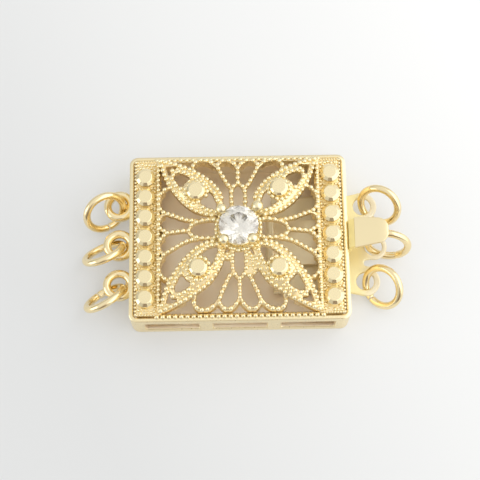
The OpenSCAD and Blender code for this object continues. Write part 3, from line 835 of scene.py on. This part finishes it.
def brilliant():
    """Round brilliant cut: table, 8 kites, 8 stars and 16 halves above the girdle,
    8 mains and 16 halves below it. Every facet plane follows from the crown and pavilion angles."""
    r = STONE_R
    eighth = angles(8)
    half = eighth + math.pi / 8
    sixteenth = angles(16)

    def around(radius, turn, z):
        return np.column_stack([polar(radius, turn), np.full(len(turn), z)])

    girdle, table_r, star_r, lower_r = 0.03 * r, 0.56 * r, 0.79 * r, 0.24 * r
    shrink = math.cos(math.pi / 8)
    top = girdle + (r - table_r) * math.tan(CROWN)
    star_z = girdle + (r - star_r * shrink) * math.tan(CROWN)
    lower_z = -girdle - (r - lower_r * shrink) * math.tan(PAVILION)
    culet_z = -girdle - r * math.tan(PAVILION)
    points = np.concatenate([
        around(table_r, eighth, top), around(star_r, half, star_z), around(r, sixteenth, girdle),
        around(r, sixteenth, -girdle), around(lower_r, half, lower_z), [(0, 0, culet_z)],
    ])
    points[:, 2] += GIRDLE_Z
    table = np.arange(8)
    after = (table + 1) % 8
    before = (table - 1) % 8
    star, upper, lower, deep, culet = 8 + table, 16 + 2 * table, 32 + 2 * table, 48 + table, np.full(8, 56)
    facets = [
        (table, star, after), (table, star[before], upper, star),
        (star, upper, upper + 1), (star, upper + 1, upper[after]),
        (upper, lower, lower + 1, upper + 1), (upper + 1, lower + 1, lower[after], upper[after]),
        (deep, lower + 1, lower), (deep, lower[after], lower + 1),
        (culet, deep, lower, deep[before]),
    ]
    return points, [table[None]] + [np.stack(facet, -1) for facet in facets]


# Wire and strip

RING_ACROSS, RING_WIRE, RING_SPLIT = 5.0, 0.8, math.radians(3)
EYE_ACROSS, EYE_WIRE, EYE_PITCH, EYE_Z, EYE_RISE = 3.4, 0.85, 4.4, 1.75, 0.22
WIRE_SIDES = 20
# Half the length, width and height of a drop of solder
SOLDER = (0.62, 0.95, 0.42)
# How each jump ring lies: its middle, and its turns about the long axis, the cross axis and upright
RINGS = {
    "ring_left_1": ((-WALL_X - 2.8, 3.63, 2.37), (59, -9.5, 27)),
    "ring_left_2": ((-WALL_X - 2.86, -0.92, 2.26), (-51, 26, 5)),
    "ring_left_3": ((-WALL_X - 2.7, -5.88, 2.44), (-59, -8.5, 37)),
    "ring_right_1": ((WALL_X + 3.7, 3.95, 2.16), (53, 18.8, -19.3)),
    "ring_right_2": ((WALL_X + 4.37, -0.55, 2.44), (71, 31, 1.4)),
    "ring_right_3": ((WALL_X + 3.61, -5.09, 2.07), (51.2, 0.5, -53.2)),
}


def wire_ring(centre, turns):
    """Round wire bent to a ring with a fine split, its ends a little thinner: a circle carried
    round a circle, then turned."""
    start = RING_SPLIT / 2 - math.copysign(math.pi / 2, turns[0])
    t = start + np.linspace(0, 2 * math.pi - RING_SPLIT, 121)[:, None]
    section = angles(WIRE_SIDES)
    half = np.full((len(t), 1), RING_WIRE / 2)
    half[[0, -1]] *= 0.93
    radius = (RING_ACROSS - RING_WIRE) / 2 + half * np.cos(section)
    flat = np.stack([radius * np.cos(t), radius * np.sin(t), half * np.sin(section)], -1)
    roll, pitch, yaw = (math.radians(a) for a in turns)
    steps = [Euler(turn).to_matrix() for turn in ((0, 0, yaw), (0, -pitch, 0), (roll, 0, 0))]
    return capped_tube(flat[:, ::-1] @ np.array(steps[0] @ steps[1] @ steps[2]).T + np.array(centre))


def soldered_eye(y):
    """A closed ring of tall oval wire lying flat against the end wall: a circle carried round a
    circle, its upper half raised. A drop of solder sits at the joint."""
    x = -WALL_X - EYE_ACROSS / 2 + EYE_WIRE - SHEET + 0.02
    t = angles(72)[:, None]
    section = angles(WIRE_SIDES)
    radius = (EYE_ACROSS - EYE_WIRE) / 2 + EYE_WIRE / 2 * np.cos(section)
    height = EYE_Z + EYE_WIRE / 2 * np.sin(section) + EYE_RISE * (np.sin(section) > 0)
    ring = np.broadcast_arrays(x + radius * np.cos(t), y + radius * np.sin(t), height)
    drop = (-WALL_X - 0.05, y, EYE_Z) + BALL[0] * SOLDER
    drop[:, 0] = np.minimum(drop[:, 0], -WALL_X + 0.2)
    return joined(closed_ring(np.stack(ring, -1)), (drop, [BALL[1]]))


def soldered_eyes():
    """The three eyes on the left wall."""
    return joined(*[soldered_eye(step * EYE_PITCH) for step in (-1, 0, 1)])


def even_sides(path, width):
    """The two edges of a strip that keeps one width."""
    return np.tile((-width / 2, width / 2), (len(path), 1))


def bent_strip(path, sides, thickness, ease=0.07):
    """A flat strip bent along a path in x and z: a rounded rectangle carried along it.
    sides gives the strip's two edges, y low and y high, at each point of the path."""
    path, sides = np.asarray(path, float), np.asarray(sides, float)
    step = np.diff(path, axis=0)
    step /= np.linalg.norm(step, axis=1)[:, None]
    after = np.concatenate([step, step[-1:]])
    run = after + np.concatenate([step[:1], step])
    run /= np.linalg.norm(run, axis=1)[:, None]
    across = np.stack([-run[:, 1], run[:, 0]], -1) / (run * after).sum(1)[:, None]
    corner = np.arange(4) * math.pi / 6
    low, high = sides.T
    ring = []
    for quarter, (edge, side, up) in enumerate(((high, 1, 1), (low, -1, 1), (low, -1, -1), (high, 1, -1))):
        spin = corner + quarter * math.pi / 2
        for dy, dz in polar(ease, spin):
            off = up * (thickness / 2 - ease) + dz
            y = edge - side * ease + dy
            ring.append(np.stack([path[:, 0] + across[:, 0] * off, y, path[:, 1] + across[:, 1] * off], -1))
    return capped_tube(np.stack(ring, 1))


def arc(centre, r, first, last, count=9):
    """Points of an arc in x and z, angles in degrees."""
    return centre + polar(r, np.radians(np.linspace(first, last, count)))


# The box

SLOT_LEN, SLOT_PITCH, SLOT_LOW, SLOT_HIGH, SLOT_R = 5.6, 7.1, 1.0, 3.35, 0.12
TONGUE_W, SPRING_W, NECK_W = 10.8, 5.0, 2.3
# The steps of the mouth: width and upper edge
MOUTHS = ((TONGUE_W + 0.4, 1.5), (SPRING_W + 0.5, 2.5), (NECK_W + 0.5, 3.35))
MOUTH_LOW, MOUTH_R = 0.9, 0.08
OUTER_EASE, INNER_EASE = 0.13, 0.1
WALL_LENGTH = 4 * (WALL_X - CORNER_R) + 4 * (WALL_Y - CORNER_R) + 2 * math.pi * CORNER_R
WALL_COLUMNS, WALL_STEP = 560, 0.09
FLOOR_LOW, FLOOR_EASE, FLOOR_R = 0.03, 0.05, 0.6
POST_R, POST_IN, POST_TOP = 0.68, 0.5, 3.79


def wall_path(s, inset):
    """Places at the lengths s along the box's outline, from the middle of the right wall towards
    the back: straight runs with quarter turns between them, moved inwards by inset."""
    hx, hy = WALL_X - CORNER_R, WALL_Y - CORNER_R
    bend = CORNER_R * math.pi / 2
    ends = np.cumsum([0, hy, bend, 2 * hx, bend, 2 * hy, bend, 2 * hx, bend])
    starts = np.array([(hx, 0), (hx, hy), (-hx, hy), (-hx, -hy), (hx, -hy)])
    s = s % WALL_LENGTH
    run = np.searchsorted(ends, s, side="right") - 1
    along = s - ends[run]
    turning = run % 2 == 1
    angle = run // 2 * math.pi / 2 + np.where(turning, along / CORNER_R, 0)
    ahead = polar(np.where(turning, 0, along), angle + math.pi / 2)
    return starts[(run + 1) // 2] + ahead + polar(CORNER_R - inset, angle)


def box_walls():
    """The four walls as one sheet carried round the outline, with the front slots and the mouth
    cut through it and every edge eased."""
    s = np.arange(WALL_COLUMNS) * WALL_LENGTH / WALL_COLUMNS
    z = np.arange(-WALL_STEP, WALL_Z + 2.1 * WALL_STEP, WALL_STEP)
    ss, zz = np.meshgrid(s, z)

    def opening(from_middle, width, low, high, r):
        return inside_box(from_middle, zz - (low + high) / 2, width / 2, (high - low) / 2, r)

    front_middle = WALL_LENGTH - (WALL_Y - CORNER_R + CORNER_R * math.pi / 2 + WALL_X - CORNER_R)
    from_mouth = (ss + WALL_LENGTH / 2) % WALL_LENGTH - WALL_LENGTH / 2
    openings = [opening(ss - front_middle - k * SLOT_PITCH, SLOT_LEN, SLOT_LOW, SLOT_HIGH, SLOT_R)
                for k in (-1, 0, 1)]
    openings += [opening(from_mouth, width, MOUTH_LOW, high, MOUTH_R) for width, high in MOUTHS]
    metal = np.maximum.reduce([zz - WALL_Z, -zz] + [-cut for cut in openings])

    def outside(u, v, depth):
        return np.column_stack([wall_path(u, eased(depth, OUTER_EASE)), v])

    def inside(u, v, depth):
        return np.column_stack([wall_path(u, SHEET - eased(depth, INNER_EASE)), v])

    return pierced_sheet(s, z, metal, outside, inside, wrap=True)


def box_floor():
    """The bottom: a flat plate with rounded corners and eased edges, let into the walls."""
    half_x, half_y = WALL_X - SHEET + 0.15, WALL_Y - SHEET + 0.15
    x, y = grid_over(half_x, half_y, 0.25)

    def face(u, v, depth):
        return SHEET - eased(depth, FLOOR_EASE)

    def under(u, v, depth):
        return FLOOR_LOW + eased(depth, FLOOR_EASE)

    return level_sheet(x, y, inside_box(*np.meshgrid(x, y), half_x, half_y, FLOOR_R), face, under)


def corner_posts():
    """Four upright square posts in the inner corners, which carry the top."""
    profile = [(POST_R, SHEET - 0.1), (POST_R, POST_TOP - 0.07), (POST_R - 0.08, POST_TOP)]
    x, y = WALL_X - SHEET - POST_IN, WALL_Y - SHEET - POST_IN
    corners = [(-x, -y), (-x, y), (x, -y), (x, y)]
    return joined(*[capped_tube(turned(profile, 4, corner, math.pi / 4)) for corner in corners])


# The tongue

# The ears: x, y and radius. The notches between them: the same for the round inner end of each
EARS = [(WALL_X + 1.9, 4.15, 1.6), (WALL_X + 2.95, -0.4, 1.45), (WALL_X + 1.9, -4.25, 1.6)]
NOTCHES = [(WALL_X + 2.6, 1.8, 0.75), (WALL_X + 2.2, -2.22, 0.35)]
EAR_HOLE, EAR_WAIST, PLATE_END = 1.9, 0.4, WALL_X + 2.5
PLATE_LOW, STRIP_T, STRIP_EASE = 1.0, 0.35, 0.12
# How far the tongue's grid reaches: past the wall, and to each side
TONGUE_REACH, TONGUE_HALF = 4.6, 6.1
FOLD_X, FOLD_Z, FOLD_R = WALL_X - 8.6 + 0.7, PLATE_LOW + 0.72, 0.72
LEAF_T, LEAF_SLOPE, ROLL_R, LIP_Z = 0.3, math.tan(math.radians(4.6)), 0.3, 2.8
LIP_X, LIP_END, RISER_X = WALL_X - 1.35, WALL_X - 0.85, WALL_X + 0.03
TAB_Z, TAB_W, TAB_LEN, TAB_R = 5.9, 3.5, 4.1, 1.2
TAB_MIDDLES, TAB_RISE = (0.3, -0.1), 0.6
RISER_LOW, RISER_W, SLANT_LOW, TAB_ROOT = 3.6, 3.1, 4.72, RISER_X + 0.66


def tongue_outline(x, y):
    """Signed distance to the lower leaf: its body, three ears with holes, and the notches."""
    middle = (FOLD_X + WALL_X + 0.12) / 2
    reach_y = (EARS[0][1] - EARS[2][1]) / 2
    metal = [
        inside_box(x - middle, y, (WALL_X + 0.12 - FOLD_X) / 2, TONGUE_W / 2),
        inside_box(x - (PLATE_END + WALL_X) / 2, y - EARS[0][1] + reach_y, (PLATE_END - WALL_X) / 2, reach_y),
    ]
    cuts = []
    for ex, ey, r in EARS:
        root = r - EAR_WAIST
        neck = np.array([(WALL_X, ey - root), (ex, ey - r), (ex, ey + r), (WALL_X, ey + root)])
        metal += [np.hypot(x - ex, y - ey) - r, inside_outline(x, y, neck)]
        cuts.append(EAR_HOLE / 2 - np.hypot(x - ex, y - ey))
    for nx, ny, r in NOTCHES:
        cuts.append(r - np.where(x > nx, np.abs(y - ny), np.hypot(x - nx, y - ny)))
    return np.maximum.reduce([np.minimum.reduce(metal)] + cuts)


def tongue_leaf():
    """The lower leaf of the tongue with eased edges, and the fold at its inner end."""
    step = 0.1
    x = np.arange(FOLD_X - step, WALL_X + TONGUE_REACH, step)
    y = np.arange(-TONGUE_HALF, TONGUE_HALF, step)

    def face(u, v, depth):
        return PLATE_LOW + STRIP_T - eased(depth, STRIP_EASE)

    def under(u, v, depth):
        return PLATE_LOW + eased(depth, STRIP_EASE)

    flat = level_sheet(x, y, tongue_outline(*np.meshgrid(x, y)), face, under)
    fold = arc((FOLD_X, FOLD_Z), FOLD_R - STRIP_T / 2, 270, 90, 17)
    return joined(flat, bent_strip(fold, even_sides(fold, SPRING_W), STRIP_T))


def spring_leaf():
    """The spring leaf with its lip inside the box, and the rolled edge at the fold."""
    x = np.linspace(FOLD_X, LIP_X - 0.25, 12)
    leaf = np.stack([x, FOLD_Z + (x - FOLD_X) * LEAF_SLOPE], -1)
    foot = leaf[-1:]
    lip = [(LIP_X + 0.02, foot[0, 1] + 0.06), (LIP_END - 0.28, LIP_Z - 0.42), (LIP_END - 0.15, LIP_Z - 0.02)]
    path = np.concatenate([leaf, smooth_curve(np.concatenate([foot, lip]), 4)[1:]])
    x, z = ((FOLD_X, FOLD_Z) + polar(ROLL_R, angles(24))).T
    half = SPRING_W / 2 - 0.02
    roll = np.stack([np.column_stack([x, np.full(len(x), y), z]) for y in (half, -half)])
    return joined(bent_strip(path, even_sides(path, SPRING_W), LEAF_T), capped_tube(roll))


def neck_and_riser():
    """The leaf's narrow neck through the mouth, the wider riser up the wall and its slanting top."""
    bend, middle = 0.1, LEAF_T / 2
    neck_z, riser_x = LIP_Z - middle, RISER_X + middle
    path = np.concatenate([
        [(LIP_END - 0.25, neck_z)], arc((riser_x - bend, neck_z + bend), bend, -90, 0, 6),
        [(riser_x, RISER_LOW), (riser_x, RISER_LOW + 0.05), (riser_x, SLANT_LOW)],
        [(TAB_ROOT, TAB_Z - TAB_RISE - middle)],
    ])
    sides = even_sides(path, NECK_W)
    sides[path[:, 1] > RISER_LOW] = (-RISER_W / 2, RISER_W / 2)
    return bent_strip(path, sides, LEAF_T)


def thumb_tab():
    """The flat tab that the thumb presses. It climbs and narrows a little towards its end, whose
    corners are quarter circles."""
    tab_end = RISER_X + TAB_LEN
    along = tab_end - TAB_R + TAB_R * np.sin(np.linspace(0, math.pi / 2 - 0.12, 14))
    x = np.concatenate([[TAB_ROOT - 0.05, TAB_ROOT + 0.8], along])
    climb = TAB_RISE * (tab_end - x) / (tab_end - TAB_ROOT)
    round_off = TAB_R - np.sqrt(np.maximum(TAB_R ** 2 - np.maximum(x - (tab_end - TAB_R), 0) ** 2, 0))
    share = np.clip((x - RISER_X) / (tab_end - TAB_R - RISER_X), 0, 1)
    high = TAB_W / 2 + share * (TAB_MIDDLES[0] + TAB_R - TAB_W / 2) - round_off
    low = -TAB_W / 2 + share * (TAB_MIDDLES[1] - TAB_R + TAB_W / 2) + round_off
    tab = np.stack([x, TAB_Z - LEAF_T / 2 - climb], -1)
    return bent_strip(tab, np.stack([low, high], -1), LEAF_T)


# The camera and the studio

CAMERA_AT = (-0.58, -38.94, 129.852)
CAMERA_TURNS = (17.1003, -0.0071, -1.0251)
CAMERA_LENS, CAMERA_SENSOR = 93.75, 36
FLOOR_Z, FLOOR_HALF = -0.02, 400


def place_camera():
    """The camera at the photograph's place: its spot, its three turns and its lens."""
    camera = bpy.data.cameras.new("camera")
    camera.lens = CAMERA_LENS
    camera.sensor_width = CAMERA_SENSOR
    camera.clip_start = 0.01
    camera.clip_end = 5
    holder = put("camera", camera)
    holder.location = [c * MM for c in CAMERA_AT]
    holder.rotation_euler = [math.radians(a) for a in CAMERA_TURNS]
    bpy.context.scene.camera = holder


def floor_material():
    """A pale, faintly glowing sheet: soft clouds in its colour, and a glow that grows towards
    the back and the right, so that shadows on it stay light."""
    material, tree, shader = new_material("pale studio floor")
    shader.inputs["Emission Strength"].default_value = 1.0
    shader.inputs["Roughness"].default_value = 0.6
    place = add(tree, "ShaderNodeTexCoord")
    cloud = add(tree, "ShaderNodeTexNoise", Scale=18.0, Detail=2.0)
    tone = colour_mix(tree, (0.52, 0.52, 0.515), (0.50, 0.50, 0.495))
    towards = add(tree, "ShaderNodeVectorMath", operation="DOT_PRODUCT")
    towards.inputs[1].default_value = (0.86, 0.5, 0)
    share = add(tree, "ShaderNodeMapRange", From_Min=-0.022, From_Max=0.034)
    glow = colour_mix(tree, (0.21, 0.215, 0.212), (0.43, 0.43, 0.42))
    connect(
        tree,
        (place, "Object", cloud, "Vector"),
        (cloud, "Fac", tone, "Factor"),
        (tone, MIXED, shader, "Base Color"),
        (place, "Object", towards, 0),
        (towards, "Value", share, "Value"),
        (share, "Result", glow, "Factor"),
        (glow, MIXED, shader, "Emission Color"),
    )
    return material


def studio_floor():
    """A wide flat floor just under the clasp."""
    run = np.linspace(-FLOOR_HALF, FLOOR_HALF, 5)
    x, y = np.meshgrid(run, run)
    points = np.stack([x.ravel(), y.ravel(), np.full(x.size, FLOOR_Z)], -1) * MM
    mesh = bpy.data.meshes.new("studio_floor")
    mesh.from_pydata(points.tolist(), [], grid_faces(5, 5).tolist())
    mesh.materials.append(floor_material())
    put("studio_floor", mesh)


def lamp(name, at, size, power):
    """A soft square lamp that looks at the clasp's middle."""
    light = bpy.data.lights.new(name, "AREA")
    light.size = size * MM
    light.energy = power
    holder = put(name, light)
    holder.location = [c * MM for c in at]
    holder.rotation_euler = (-Vector(at)).to_track_quat("-Z", "Y").to_euler()


def studio_world():
    """Soft surroundings: bright overhead and to the right, greyer towards the floor, with a dim
    and warmer side at the front."""
    world = bpy.data.worlds.new("studio")
    bpy.context.scene.world = world
    world.use_nodes = True
    tree = world.node_tree
    place = add(tree, "ShaderNodeTexCoord")
    split = add(tree, "ShaderNodeSeparateXYZ")
    height = add(tree, "ShaderNodeMapRange", interpolation_type="SMOOTHSTEP", From_Min=-0.1, From_Max=0.85,
                 To_Min=0.52, To_Max=1.0)
    aside = add(tree, "ShaderNodeMath", operation="ABSOLUTE")
    wedge = add(tree, "ShaderNodeMath", operation="ADD")
    front = add(tree, "ShaderNodeMapRange", interpolation_type="SMOOTHSTEP", From_Min=-0.8, From_Max=-0.3,
                To_Min=0.42, To_Max=1.0)
    right = add(tree, "ShaderNodeMapRange", From_Min=-0.3, From_Max=0.3, To_Min=0.9, To_Max=1.04)
    light = add(tree, "ShaderNodeMath", operation="MULTIPLY")
    strength = add(tree, "ShaderNodeMath", operation="MULTIPLY")
    tint = colour_mix(tree, (1.0, 0.70, 0.50), (0.98, 0.99, 1.0))
    back = tree.nodes["Background"]
    connect(
        tree,
        (place, "Generated", split, "Vector"),
        (split, "Z", height, "Value"),
        (split, "X", aside, 0),
        (aside, "Value", wedge, 0),
        (split, "Y", wedge, 1),
        (wedge, "Value", front, "Value"),
        (split, "X", right, "Value"),
        (height, "Result", light, 0),
        (front, "Result", light, 1),
        (light, "Value", strength, 0),
        (right, "Result", strength, 1),
        (front, "Result", tint, "Factor"),
        (tint, MIXED, back, "Color"),
        (strength, "Value", back, "Strength"),
    )


def build_clasp():
    """All pieces of the clasp, each over the node that it stands for."""
    random = np.random.default_rng(SEED)
    walls = make_piece("box_walls", box_walls(), box_gold, "box_body", 40)
    lined(welded(walls), lightened_inside_gold)
    make_piece("box_floor", box_floor(), lightened_inside_gold, "box_body", 40)
    make_piece("corner_posts", corner_posts(), lightened_inside_gold, "box_body", 30)
    make_piece("soldered_eyes", soldered_eyes(), wire_gold, "box_body", 60)
    casting = joined(filigree_panel(), filigree_frame())
    make_piece("filigree_casting", casting, cast_gold, "filigree_top", 50)
    make_piece("filigree_beads", filigree_beads(random), bead_gold, "filigree_top")
    make_piece("border_beads", border_beads(random), bead_gold, "filigree_top")
    make_piece("studs", studs(), stud_gold, "filigree_top", 12)
    make_piece("stone_setting", seat_and_prongs(), bead_gold, "filigree_top", 40)
    make_piece("cut_stone", brilliant(), stone, "crystal", 0)
    make_piece("tongue_leaf", tongue_leaf(), tongue_gold, "tongue_plate", 50)
    make_piece("spring_leaf", spring_leaf(), leaf_gold, "press_leaf", 40)
    make_piece("neck_and_riser", neck_and_riser(), bend_reflection_gold, "press_leaf", 22)
    make_piece("thumb_tab", thumb_tab(), strip_gold, "press_leaf", 40)
    for node, (centre, turns) in RINGS.items():
        make_piece("jump_" + node, wire_ring(centre, turns), wire_gold, node, 50)


place_camera()
studio_world()
studio_floor()
lamp("left", (-220, -60, 74), 150, 0.11)
lamp("right", (200, -10, 120), 400, 0.42)
bpy.context.scene.view_settings.view_transform = "Standard"
build_clasp()
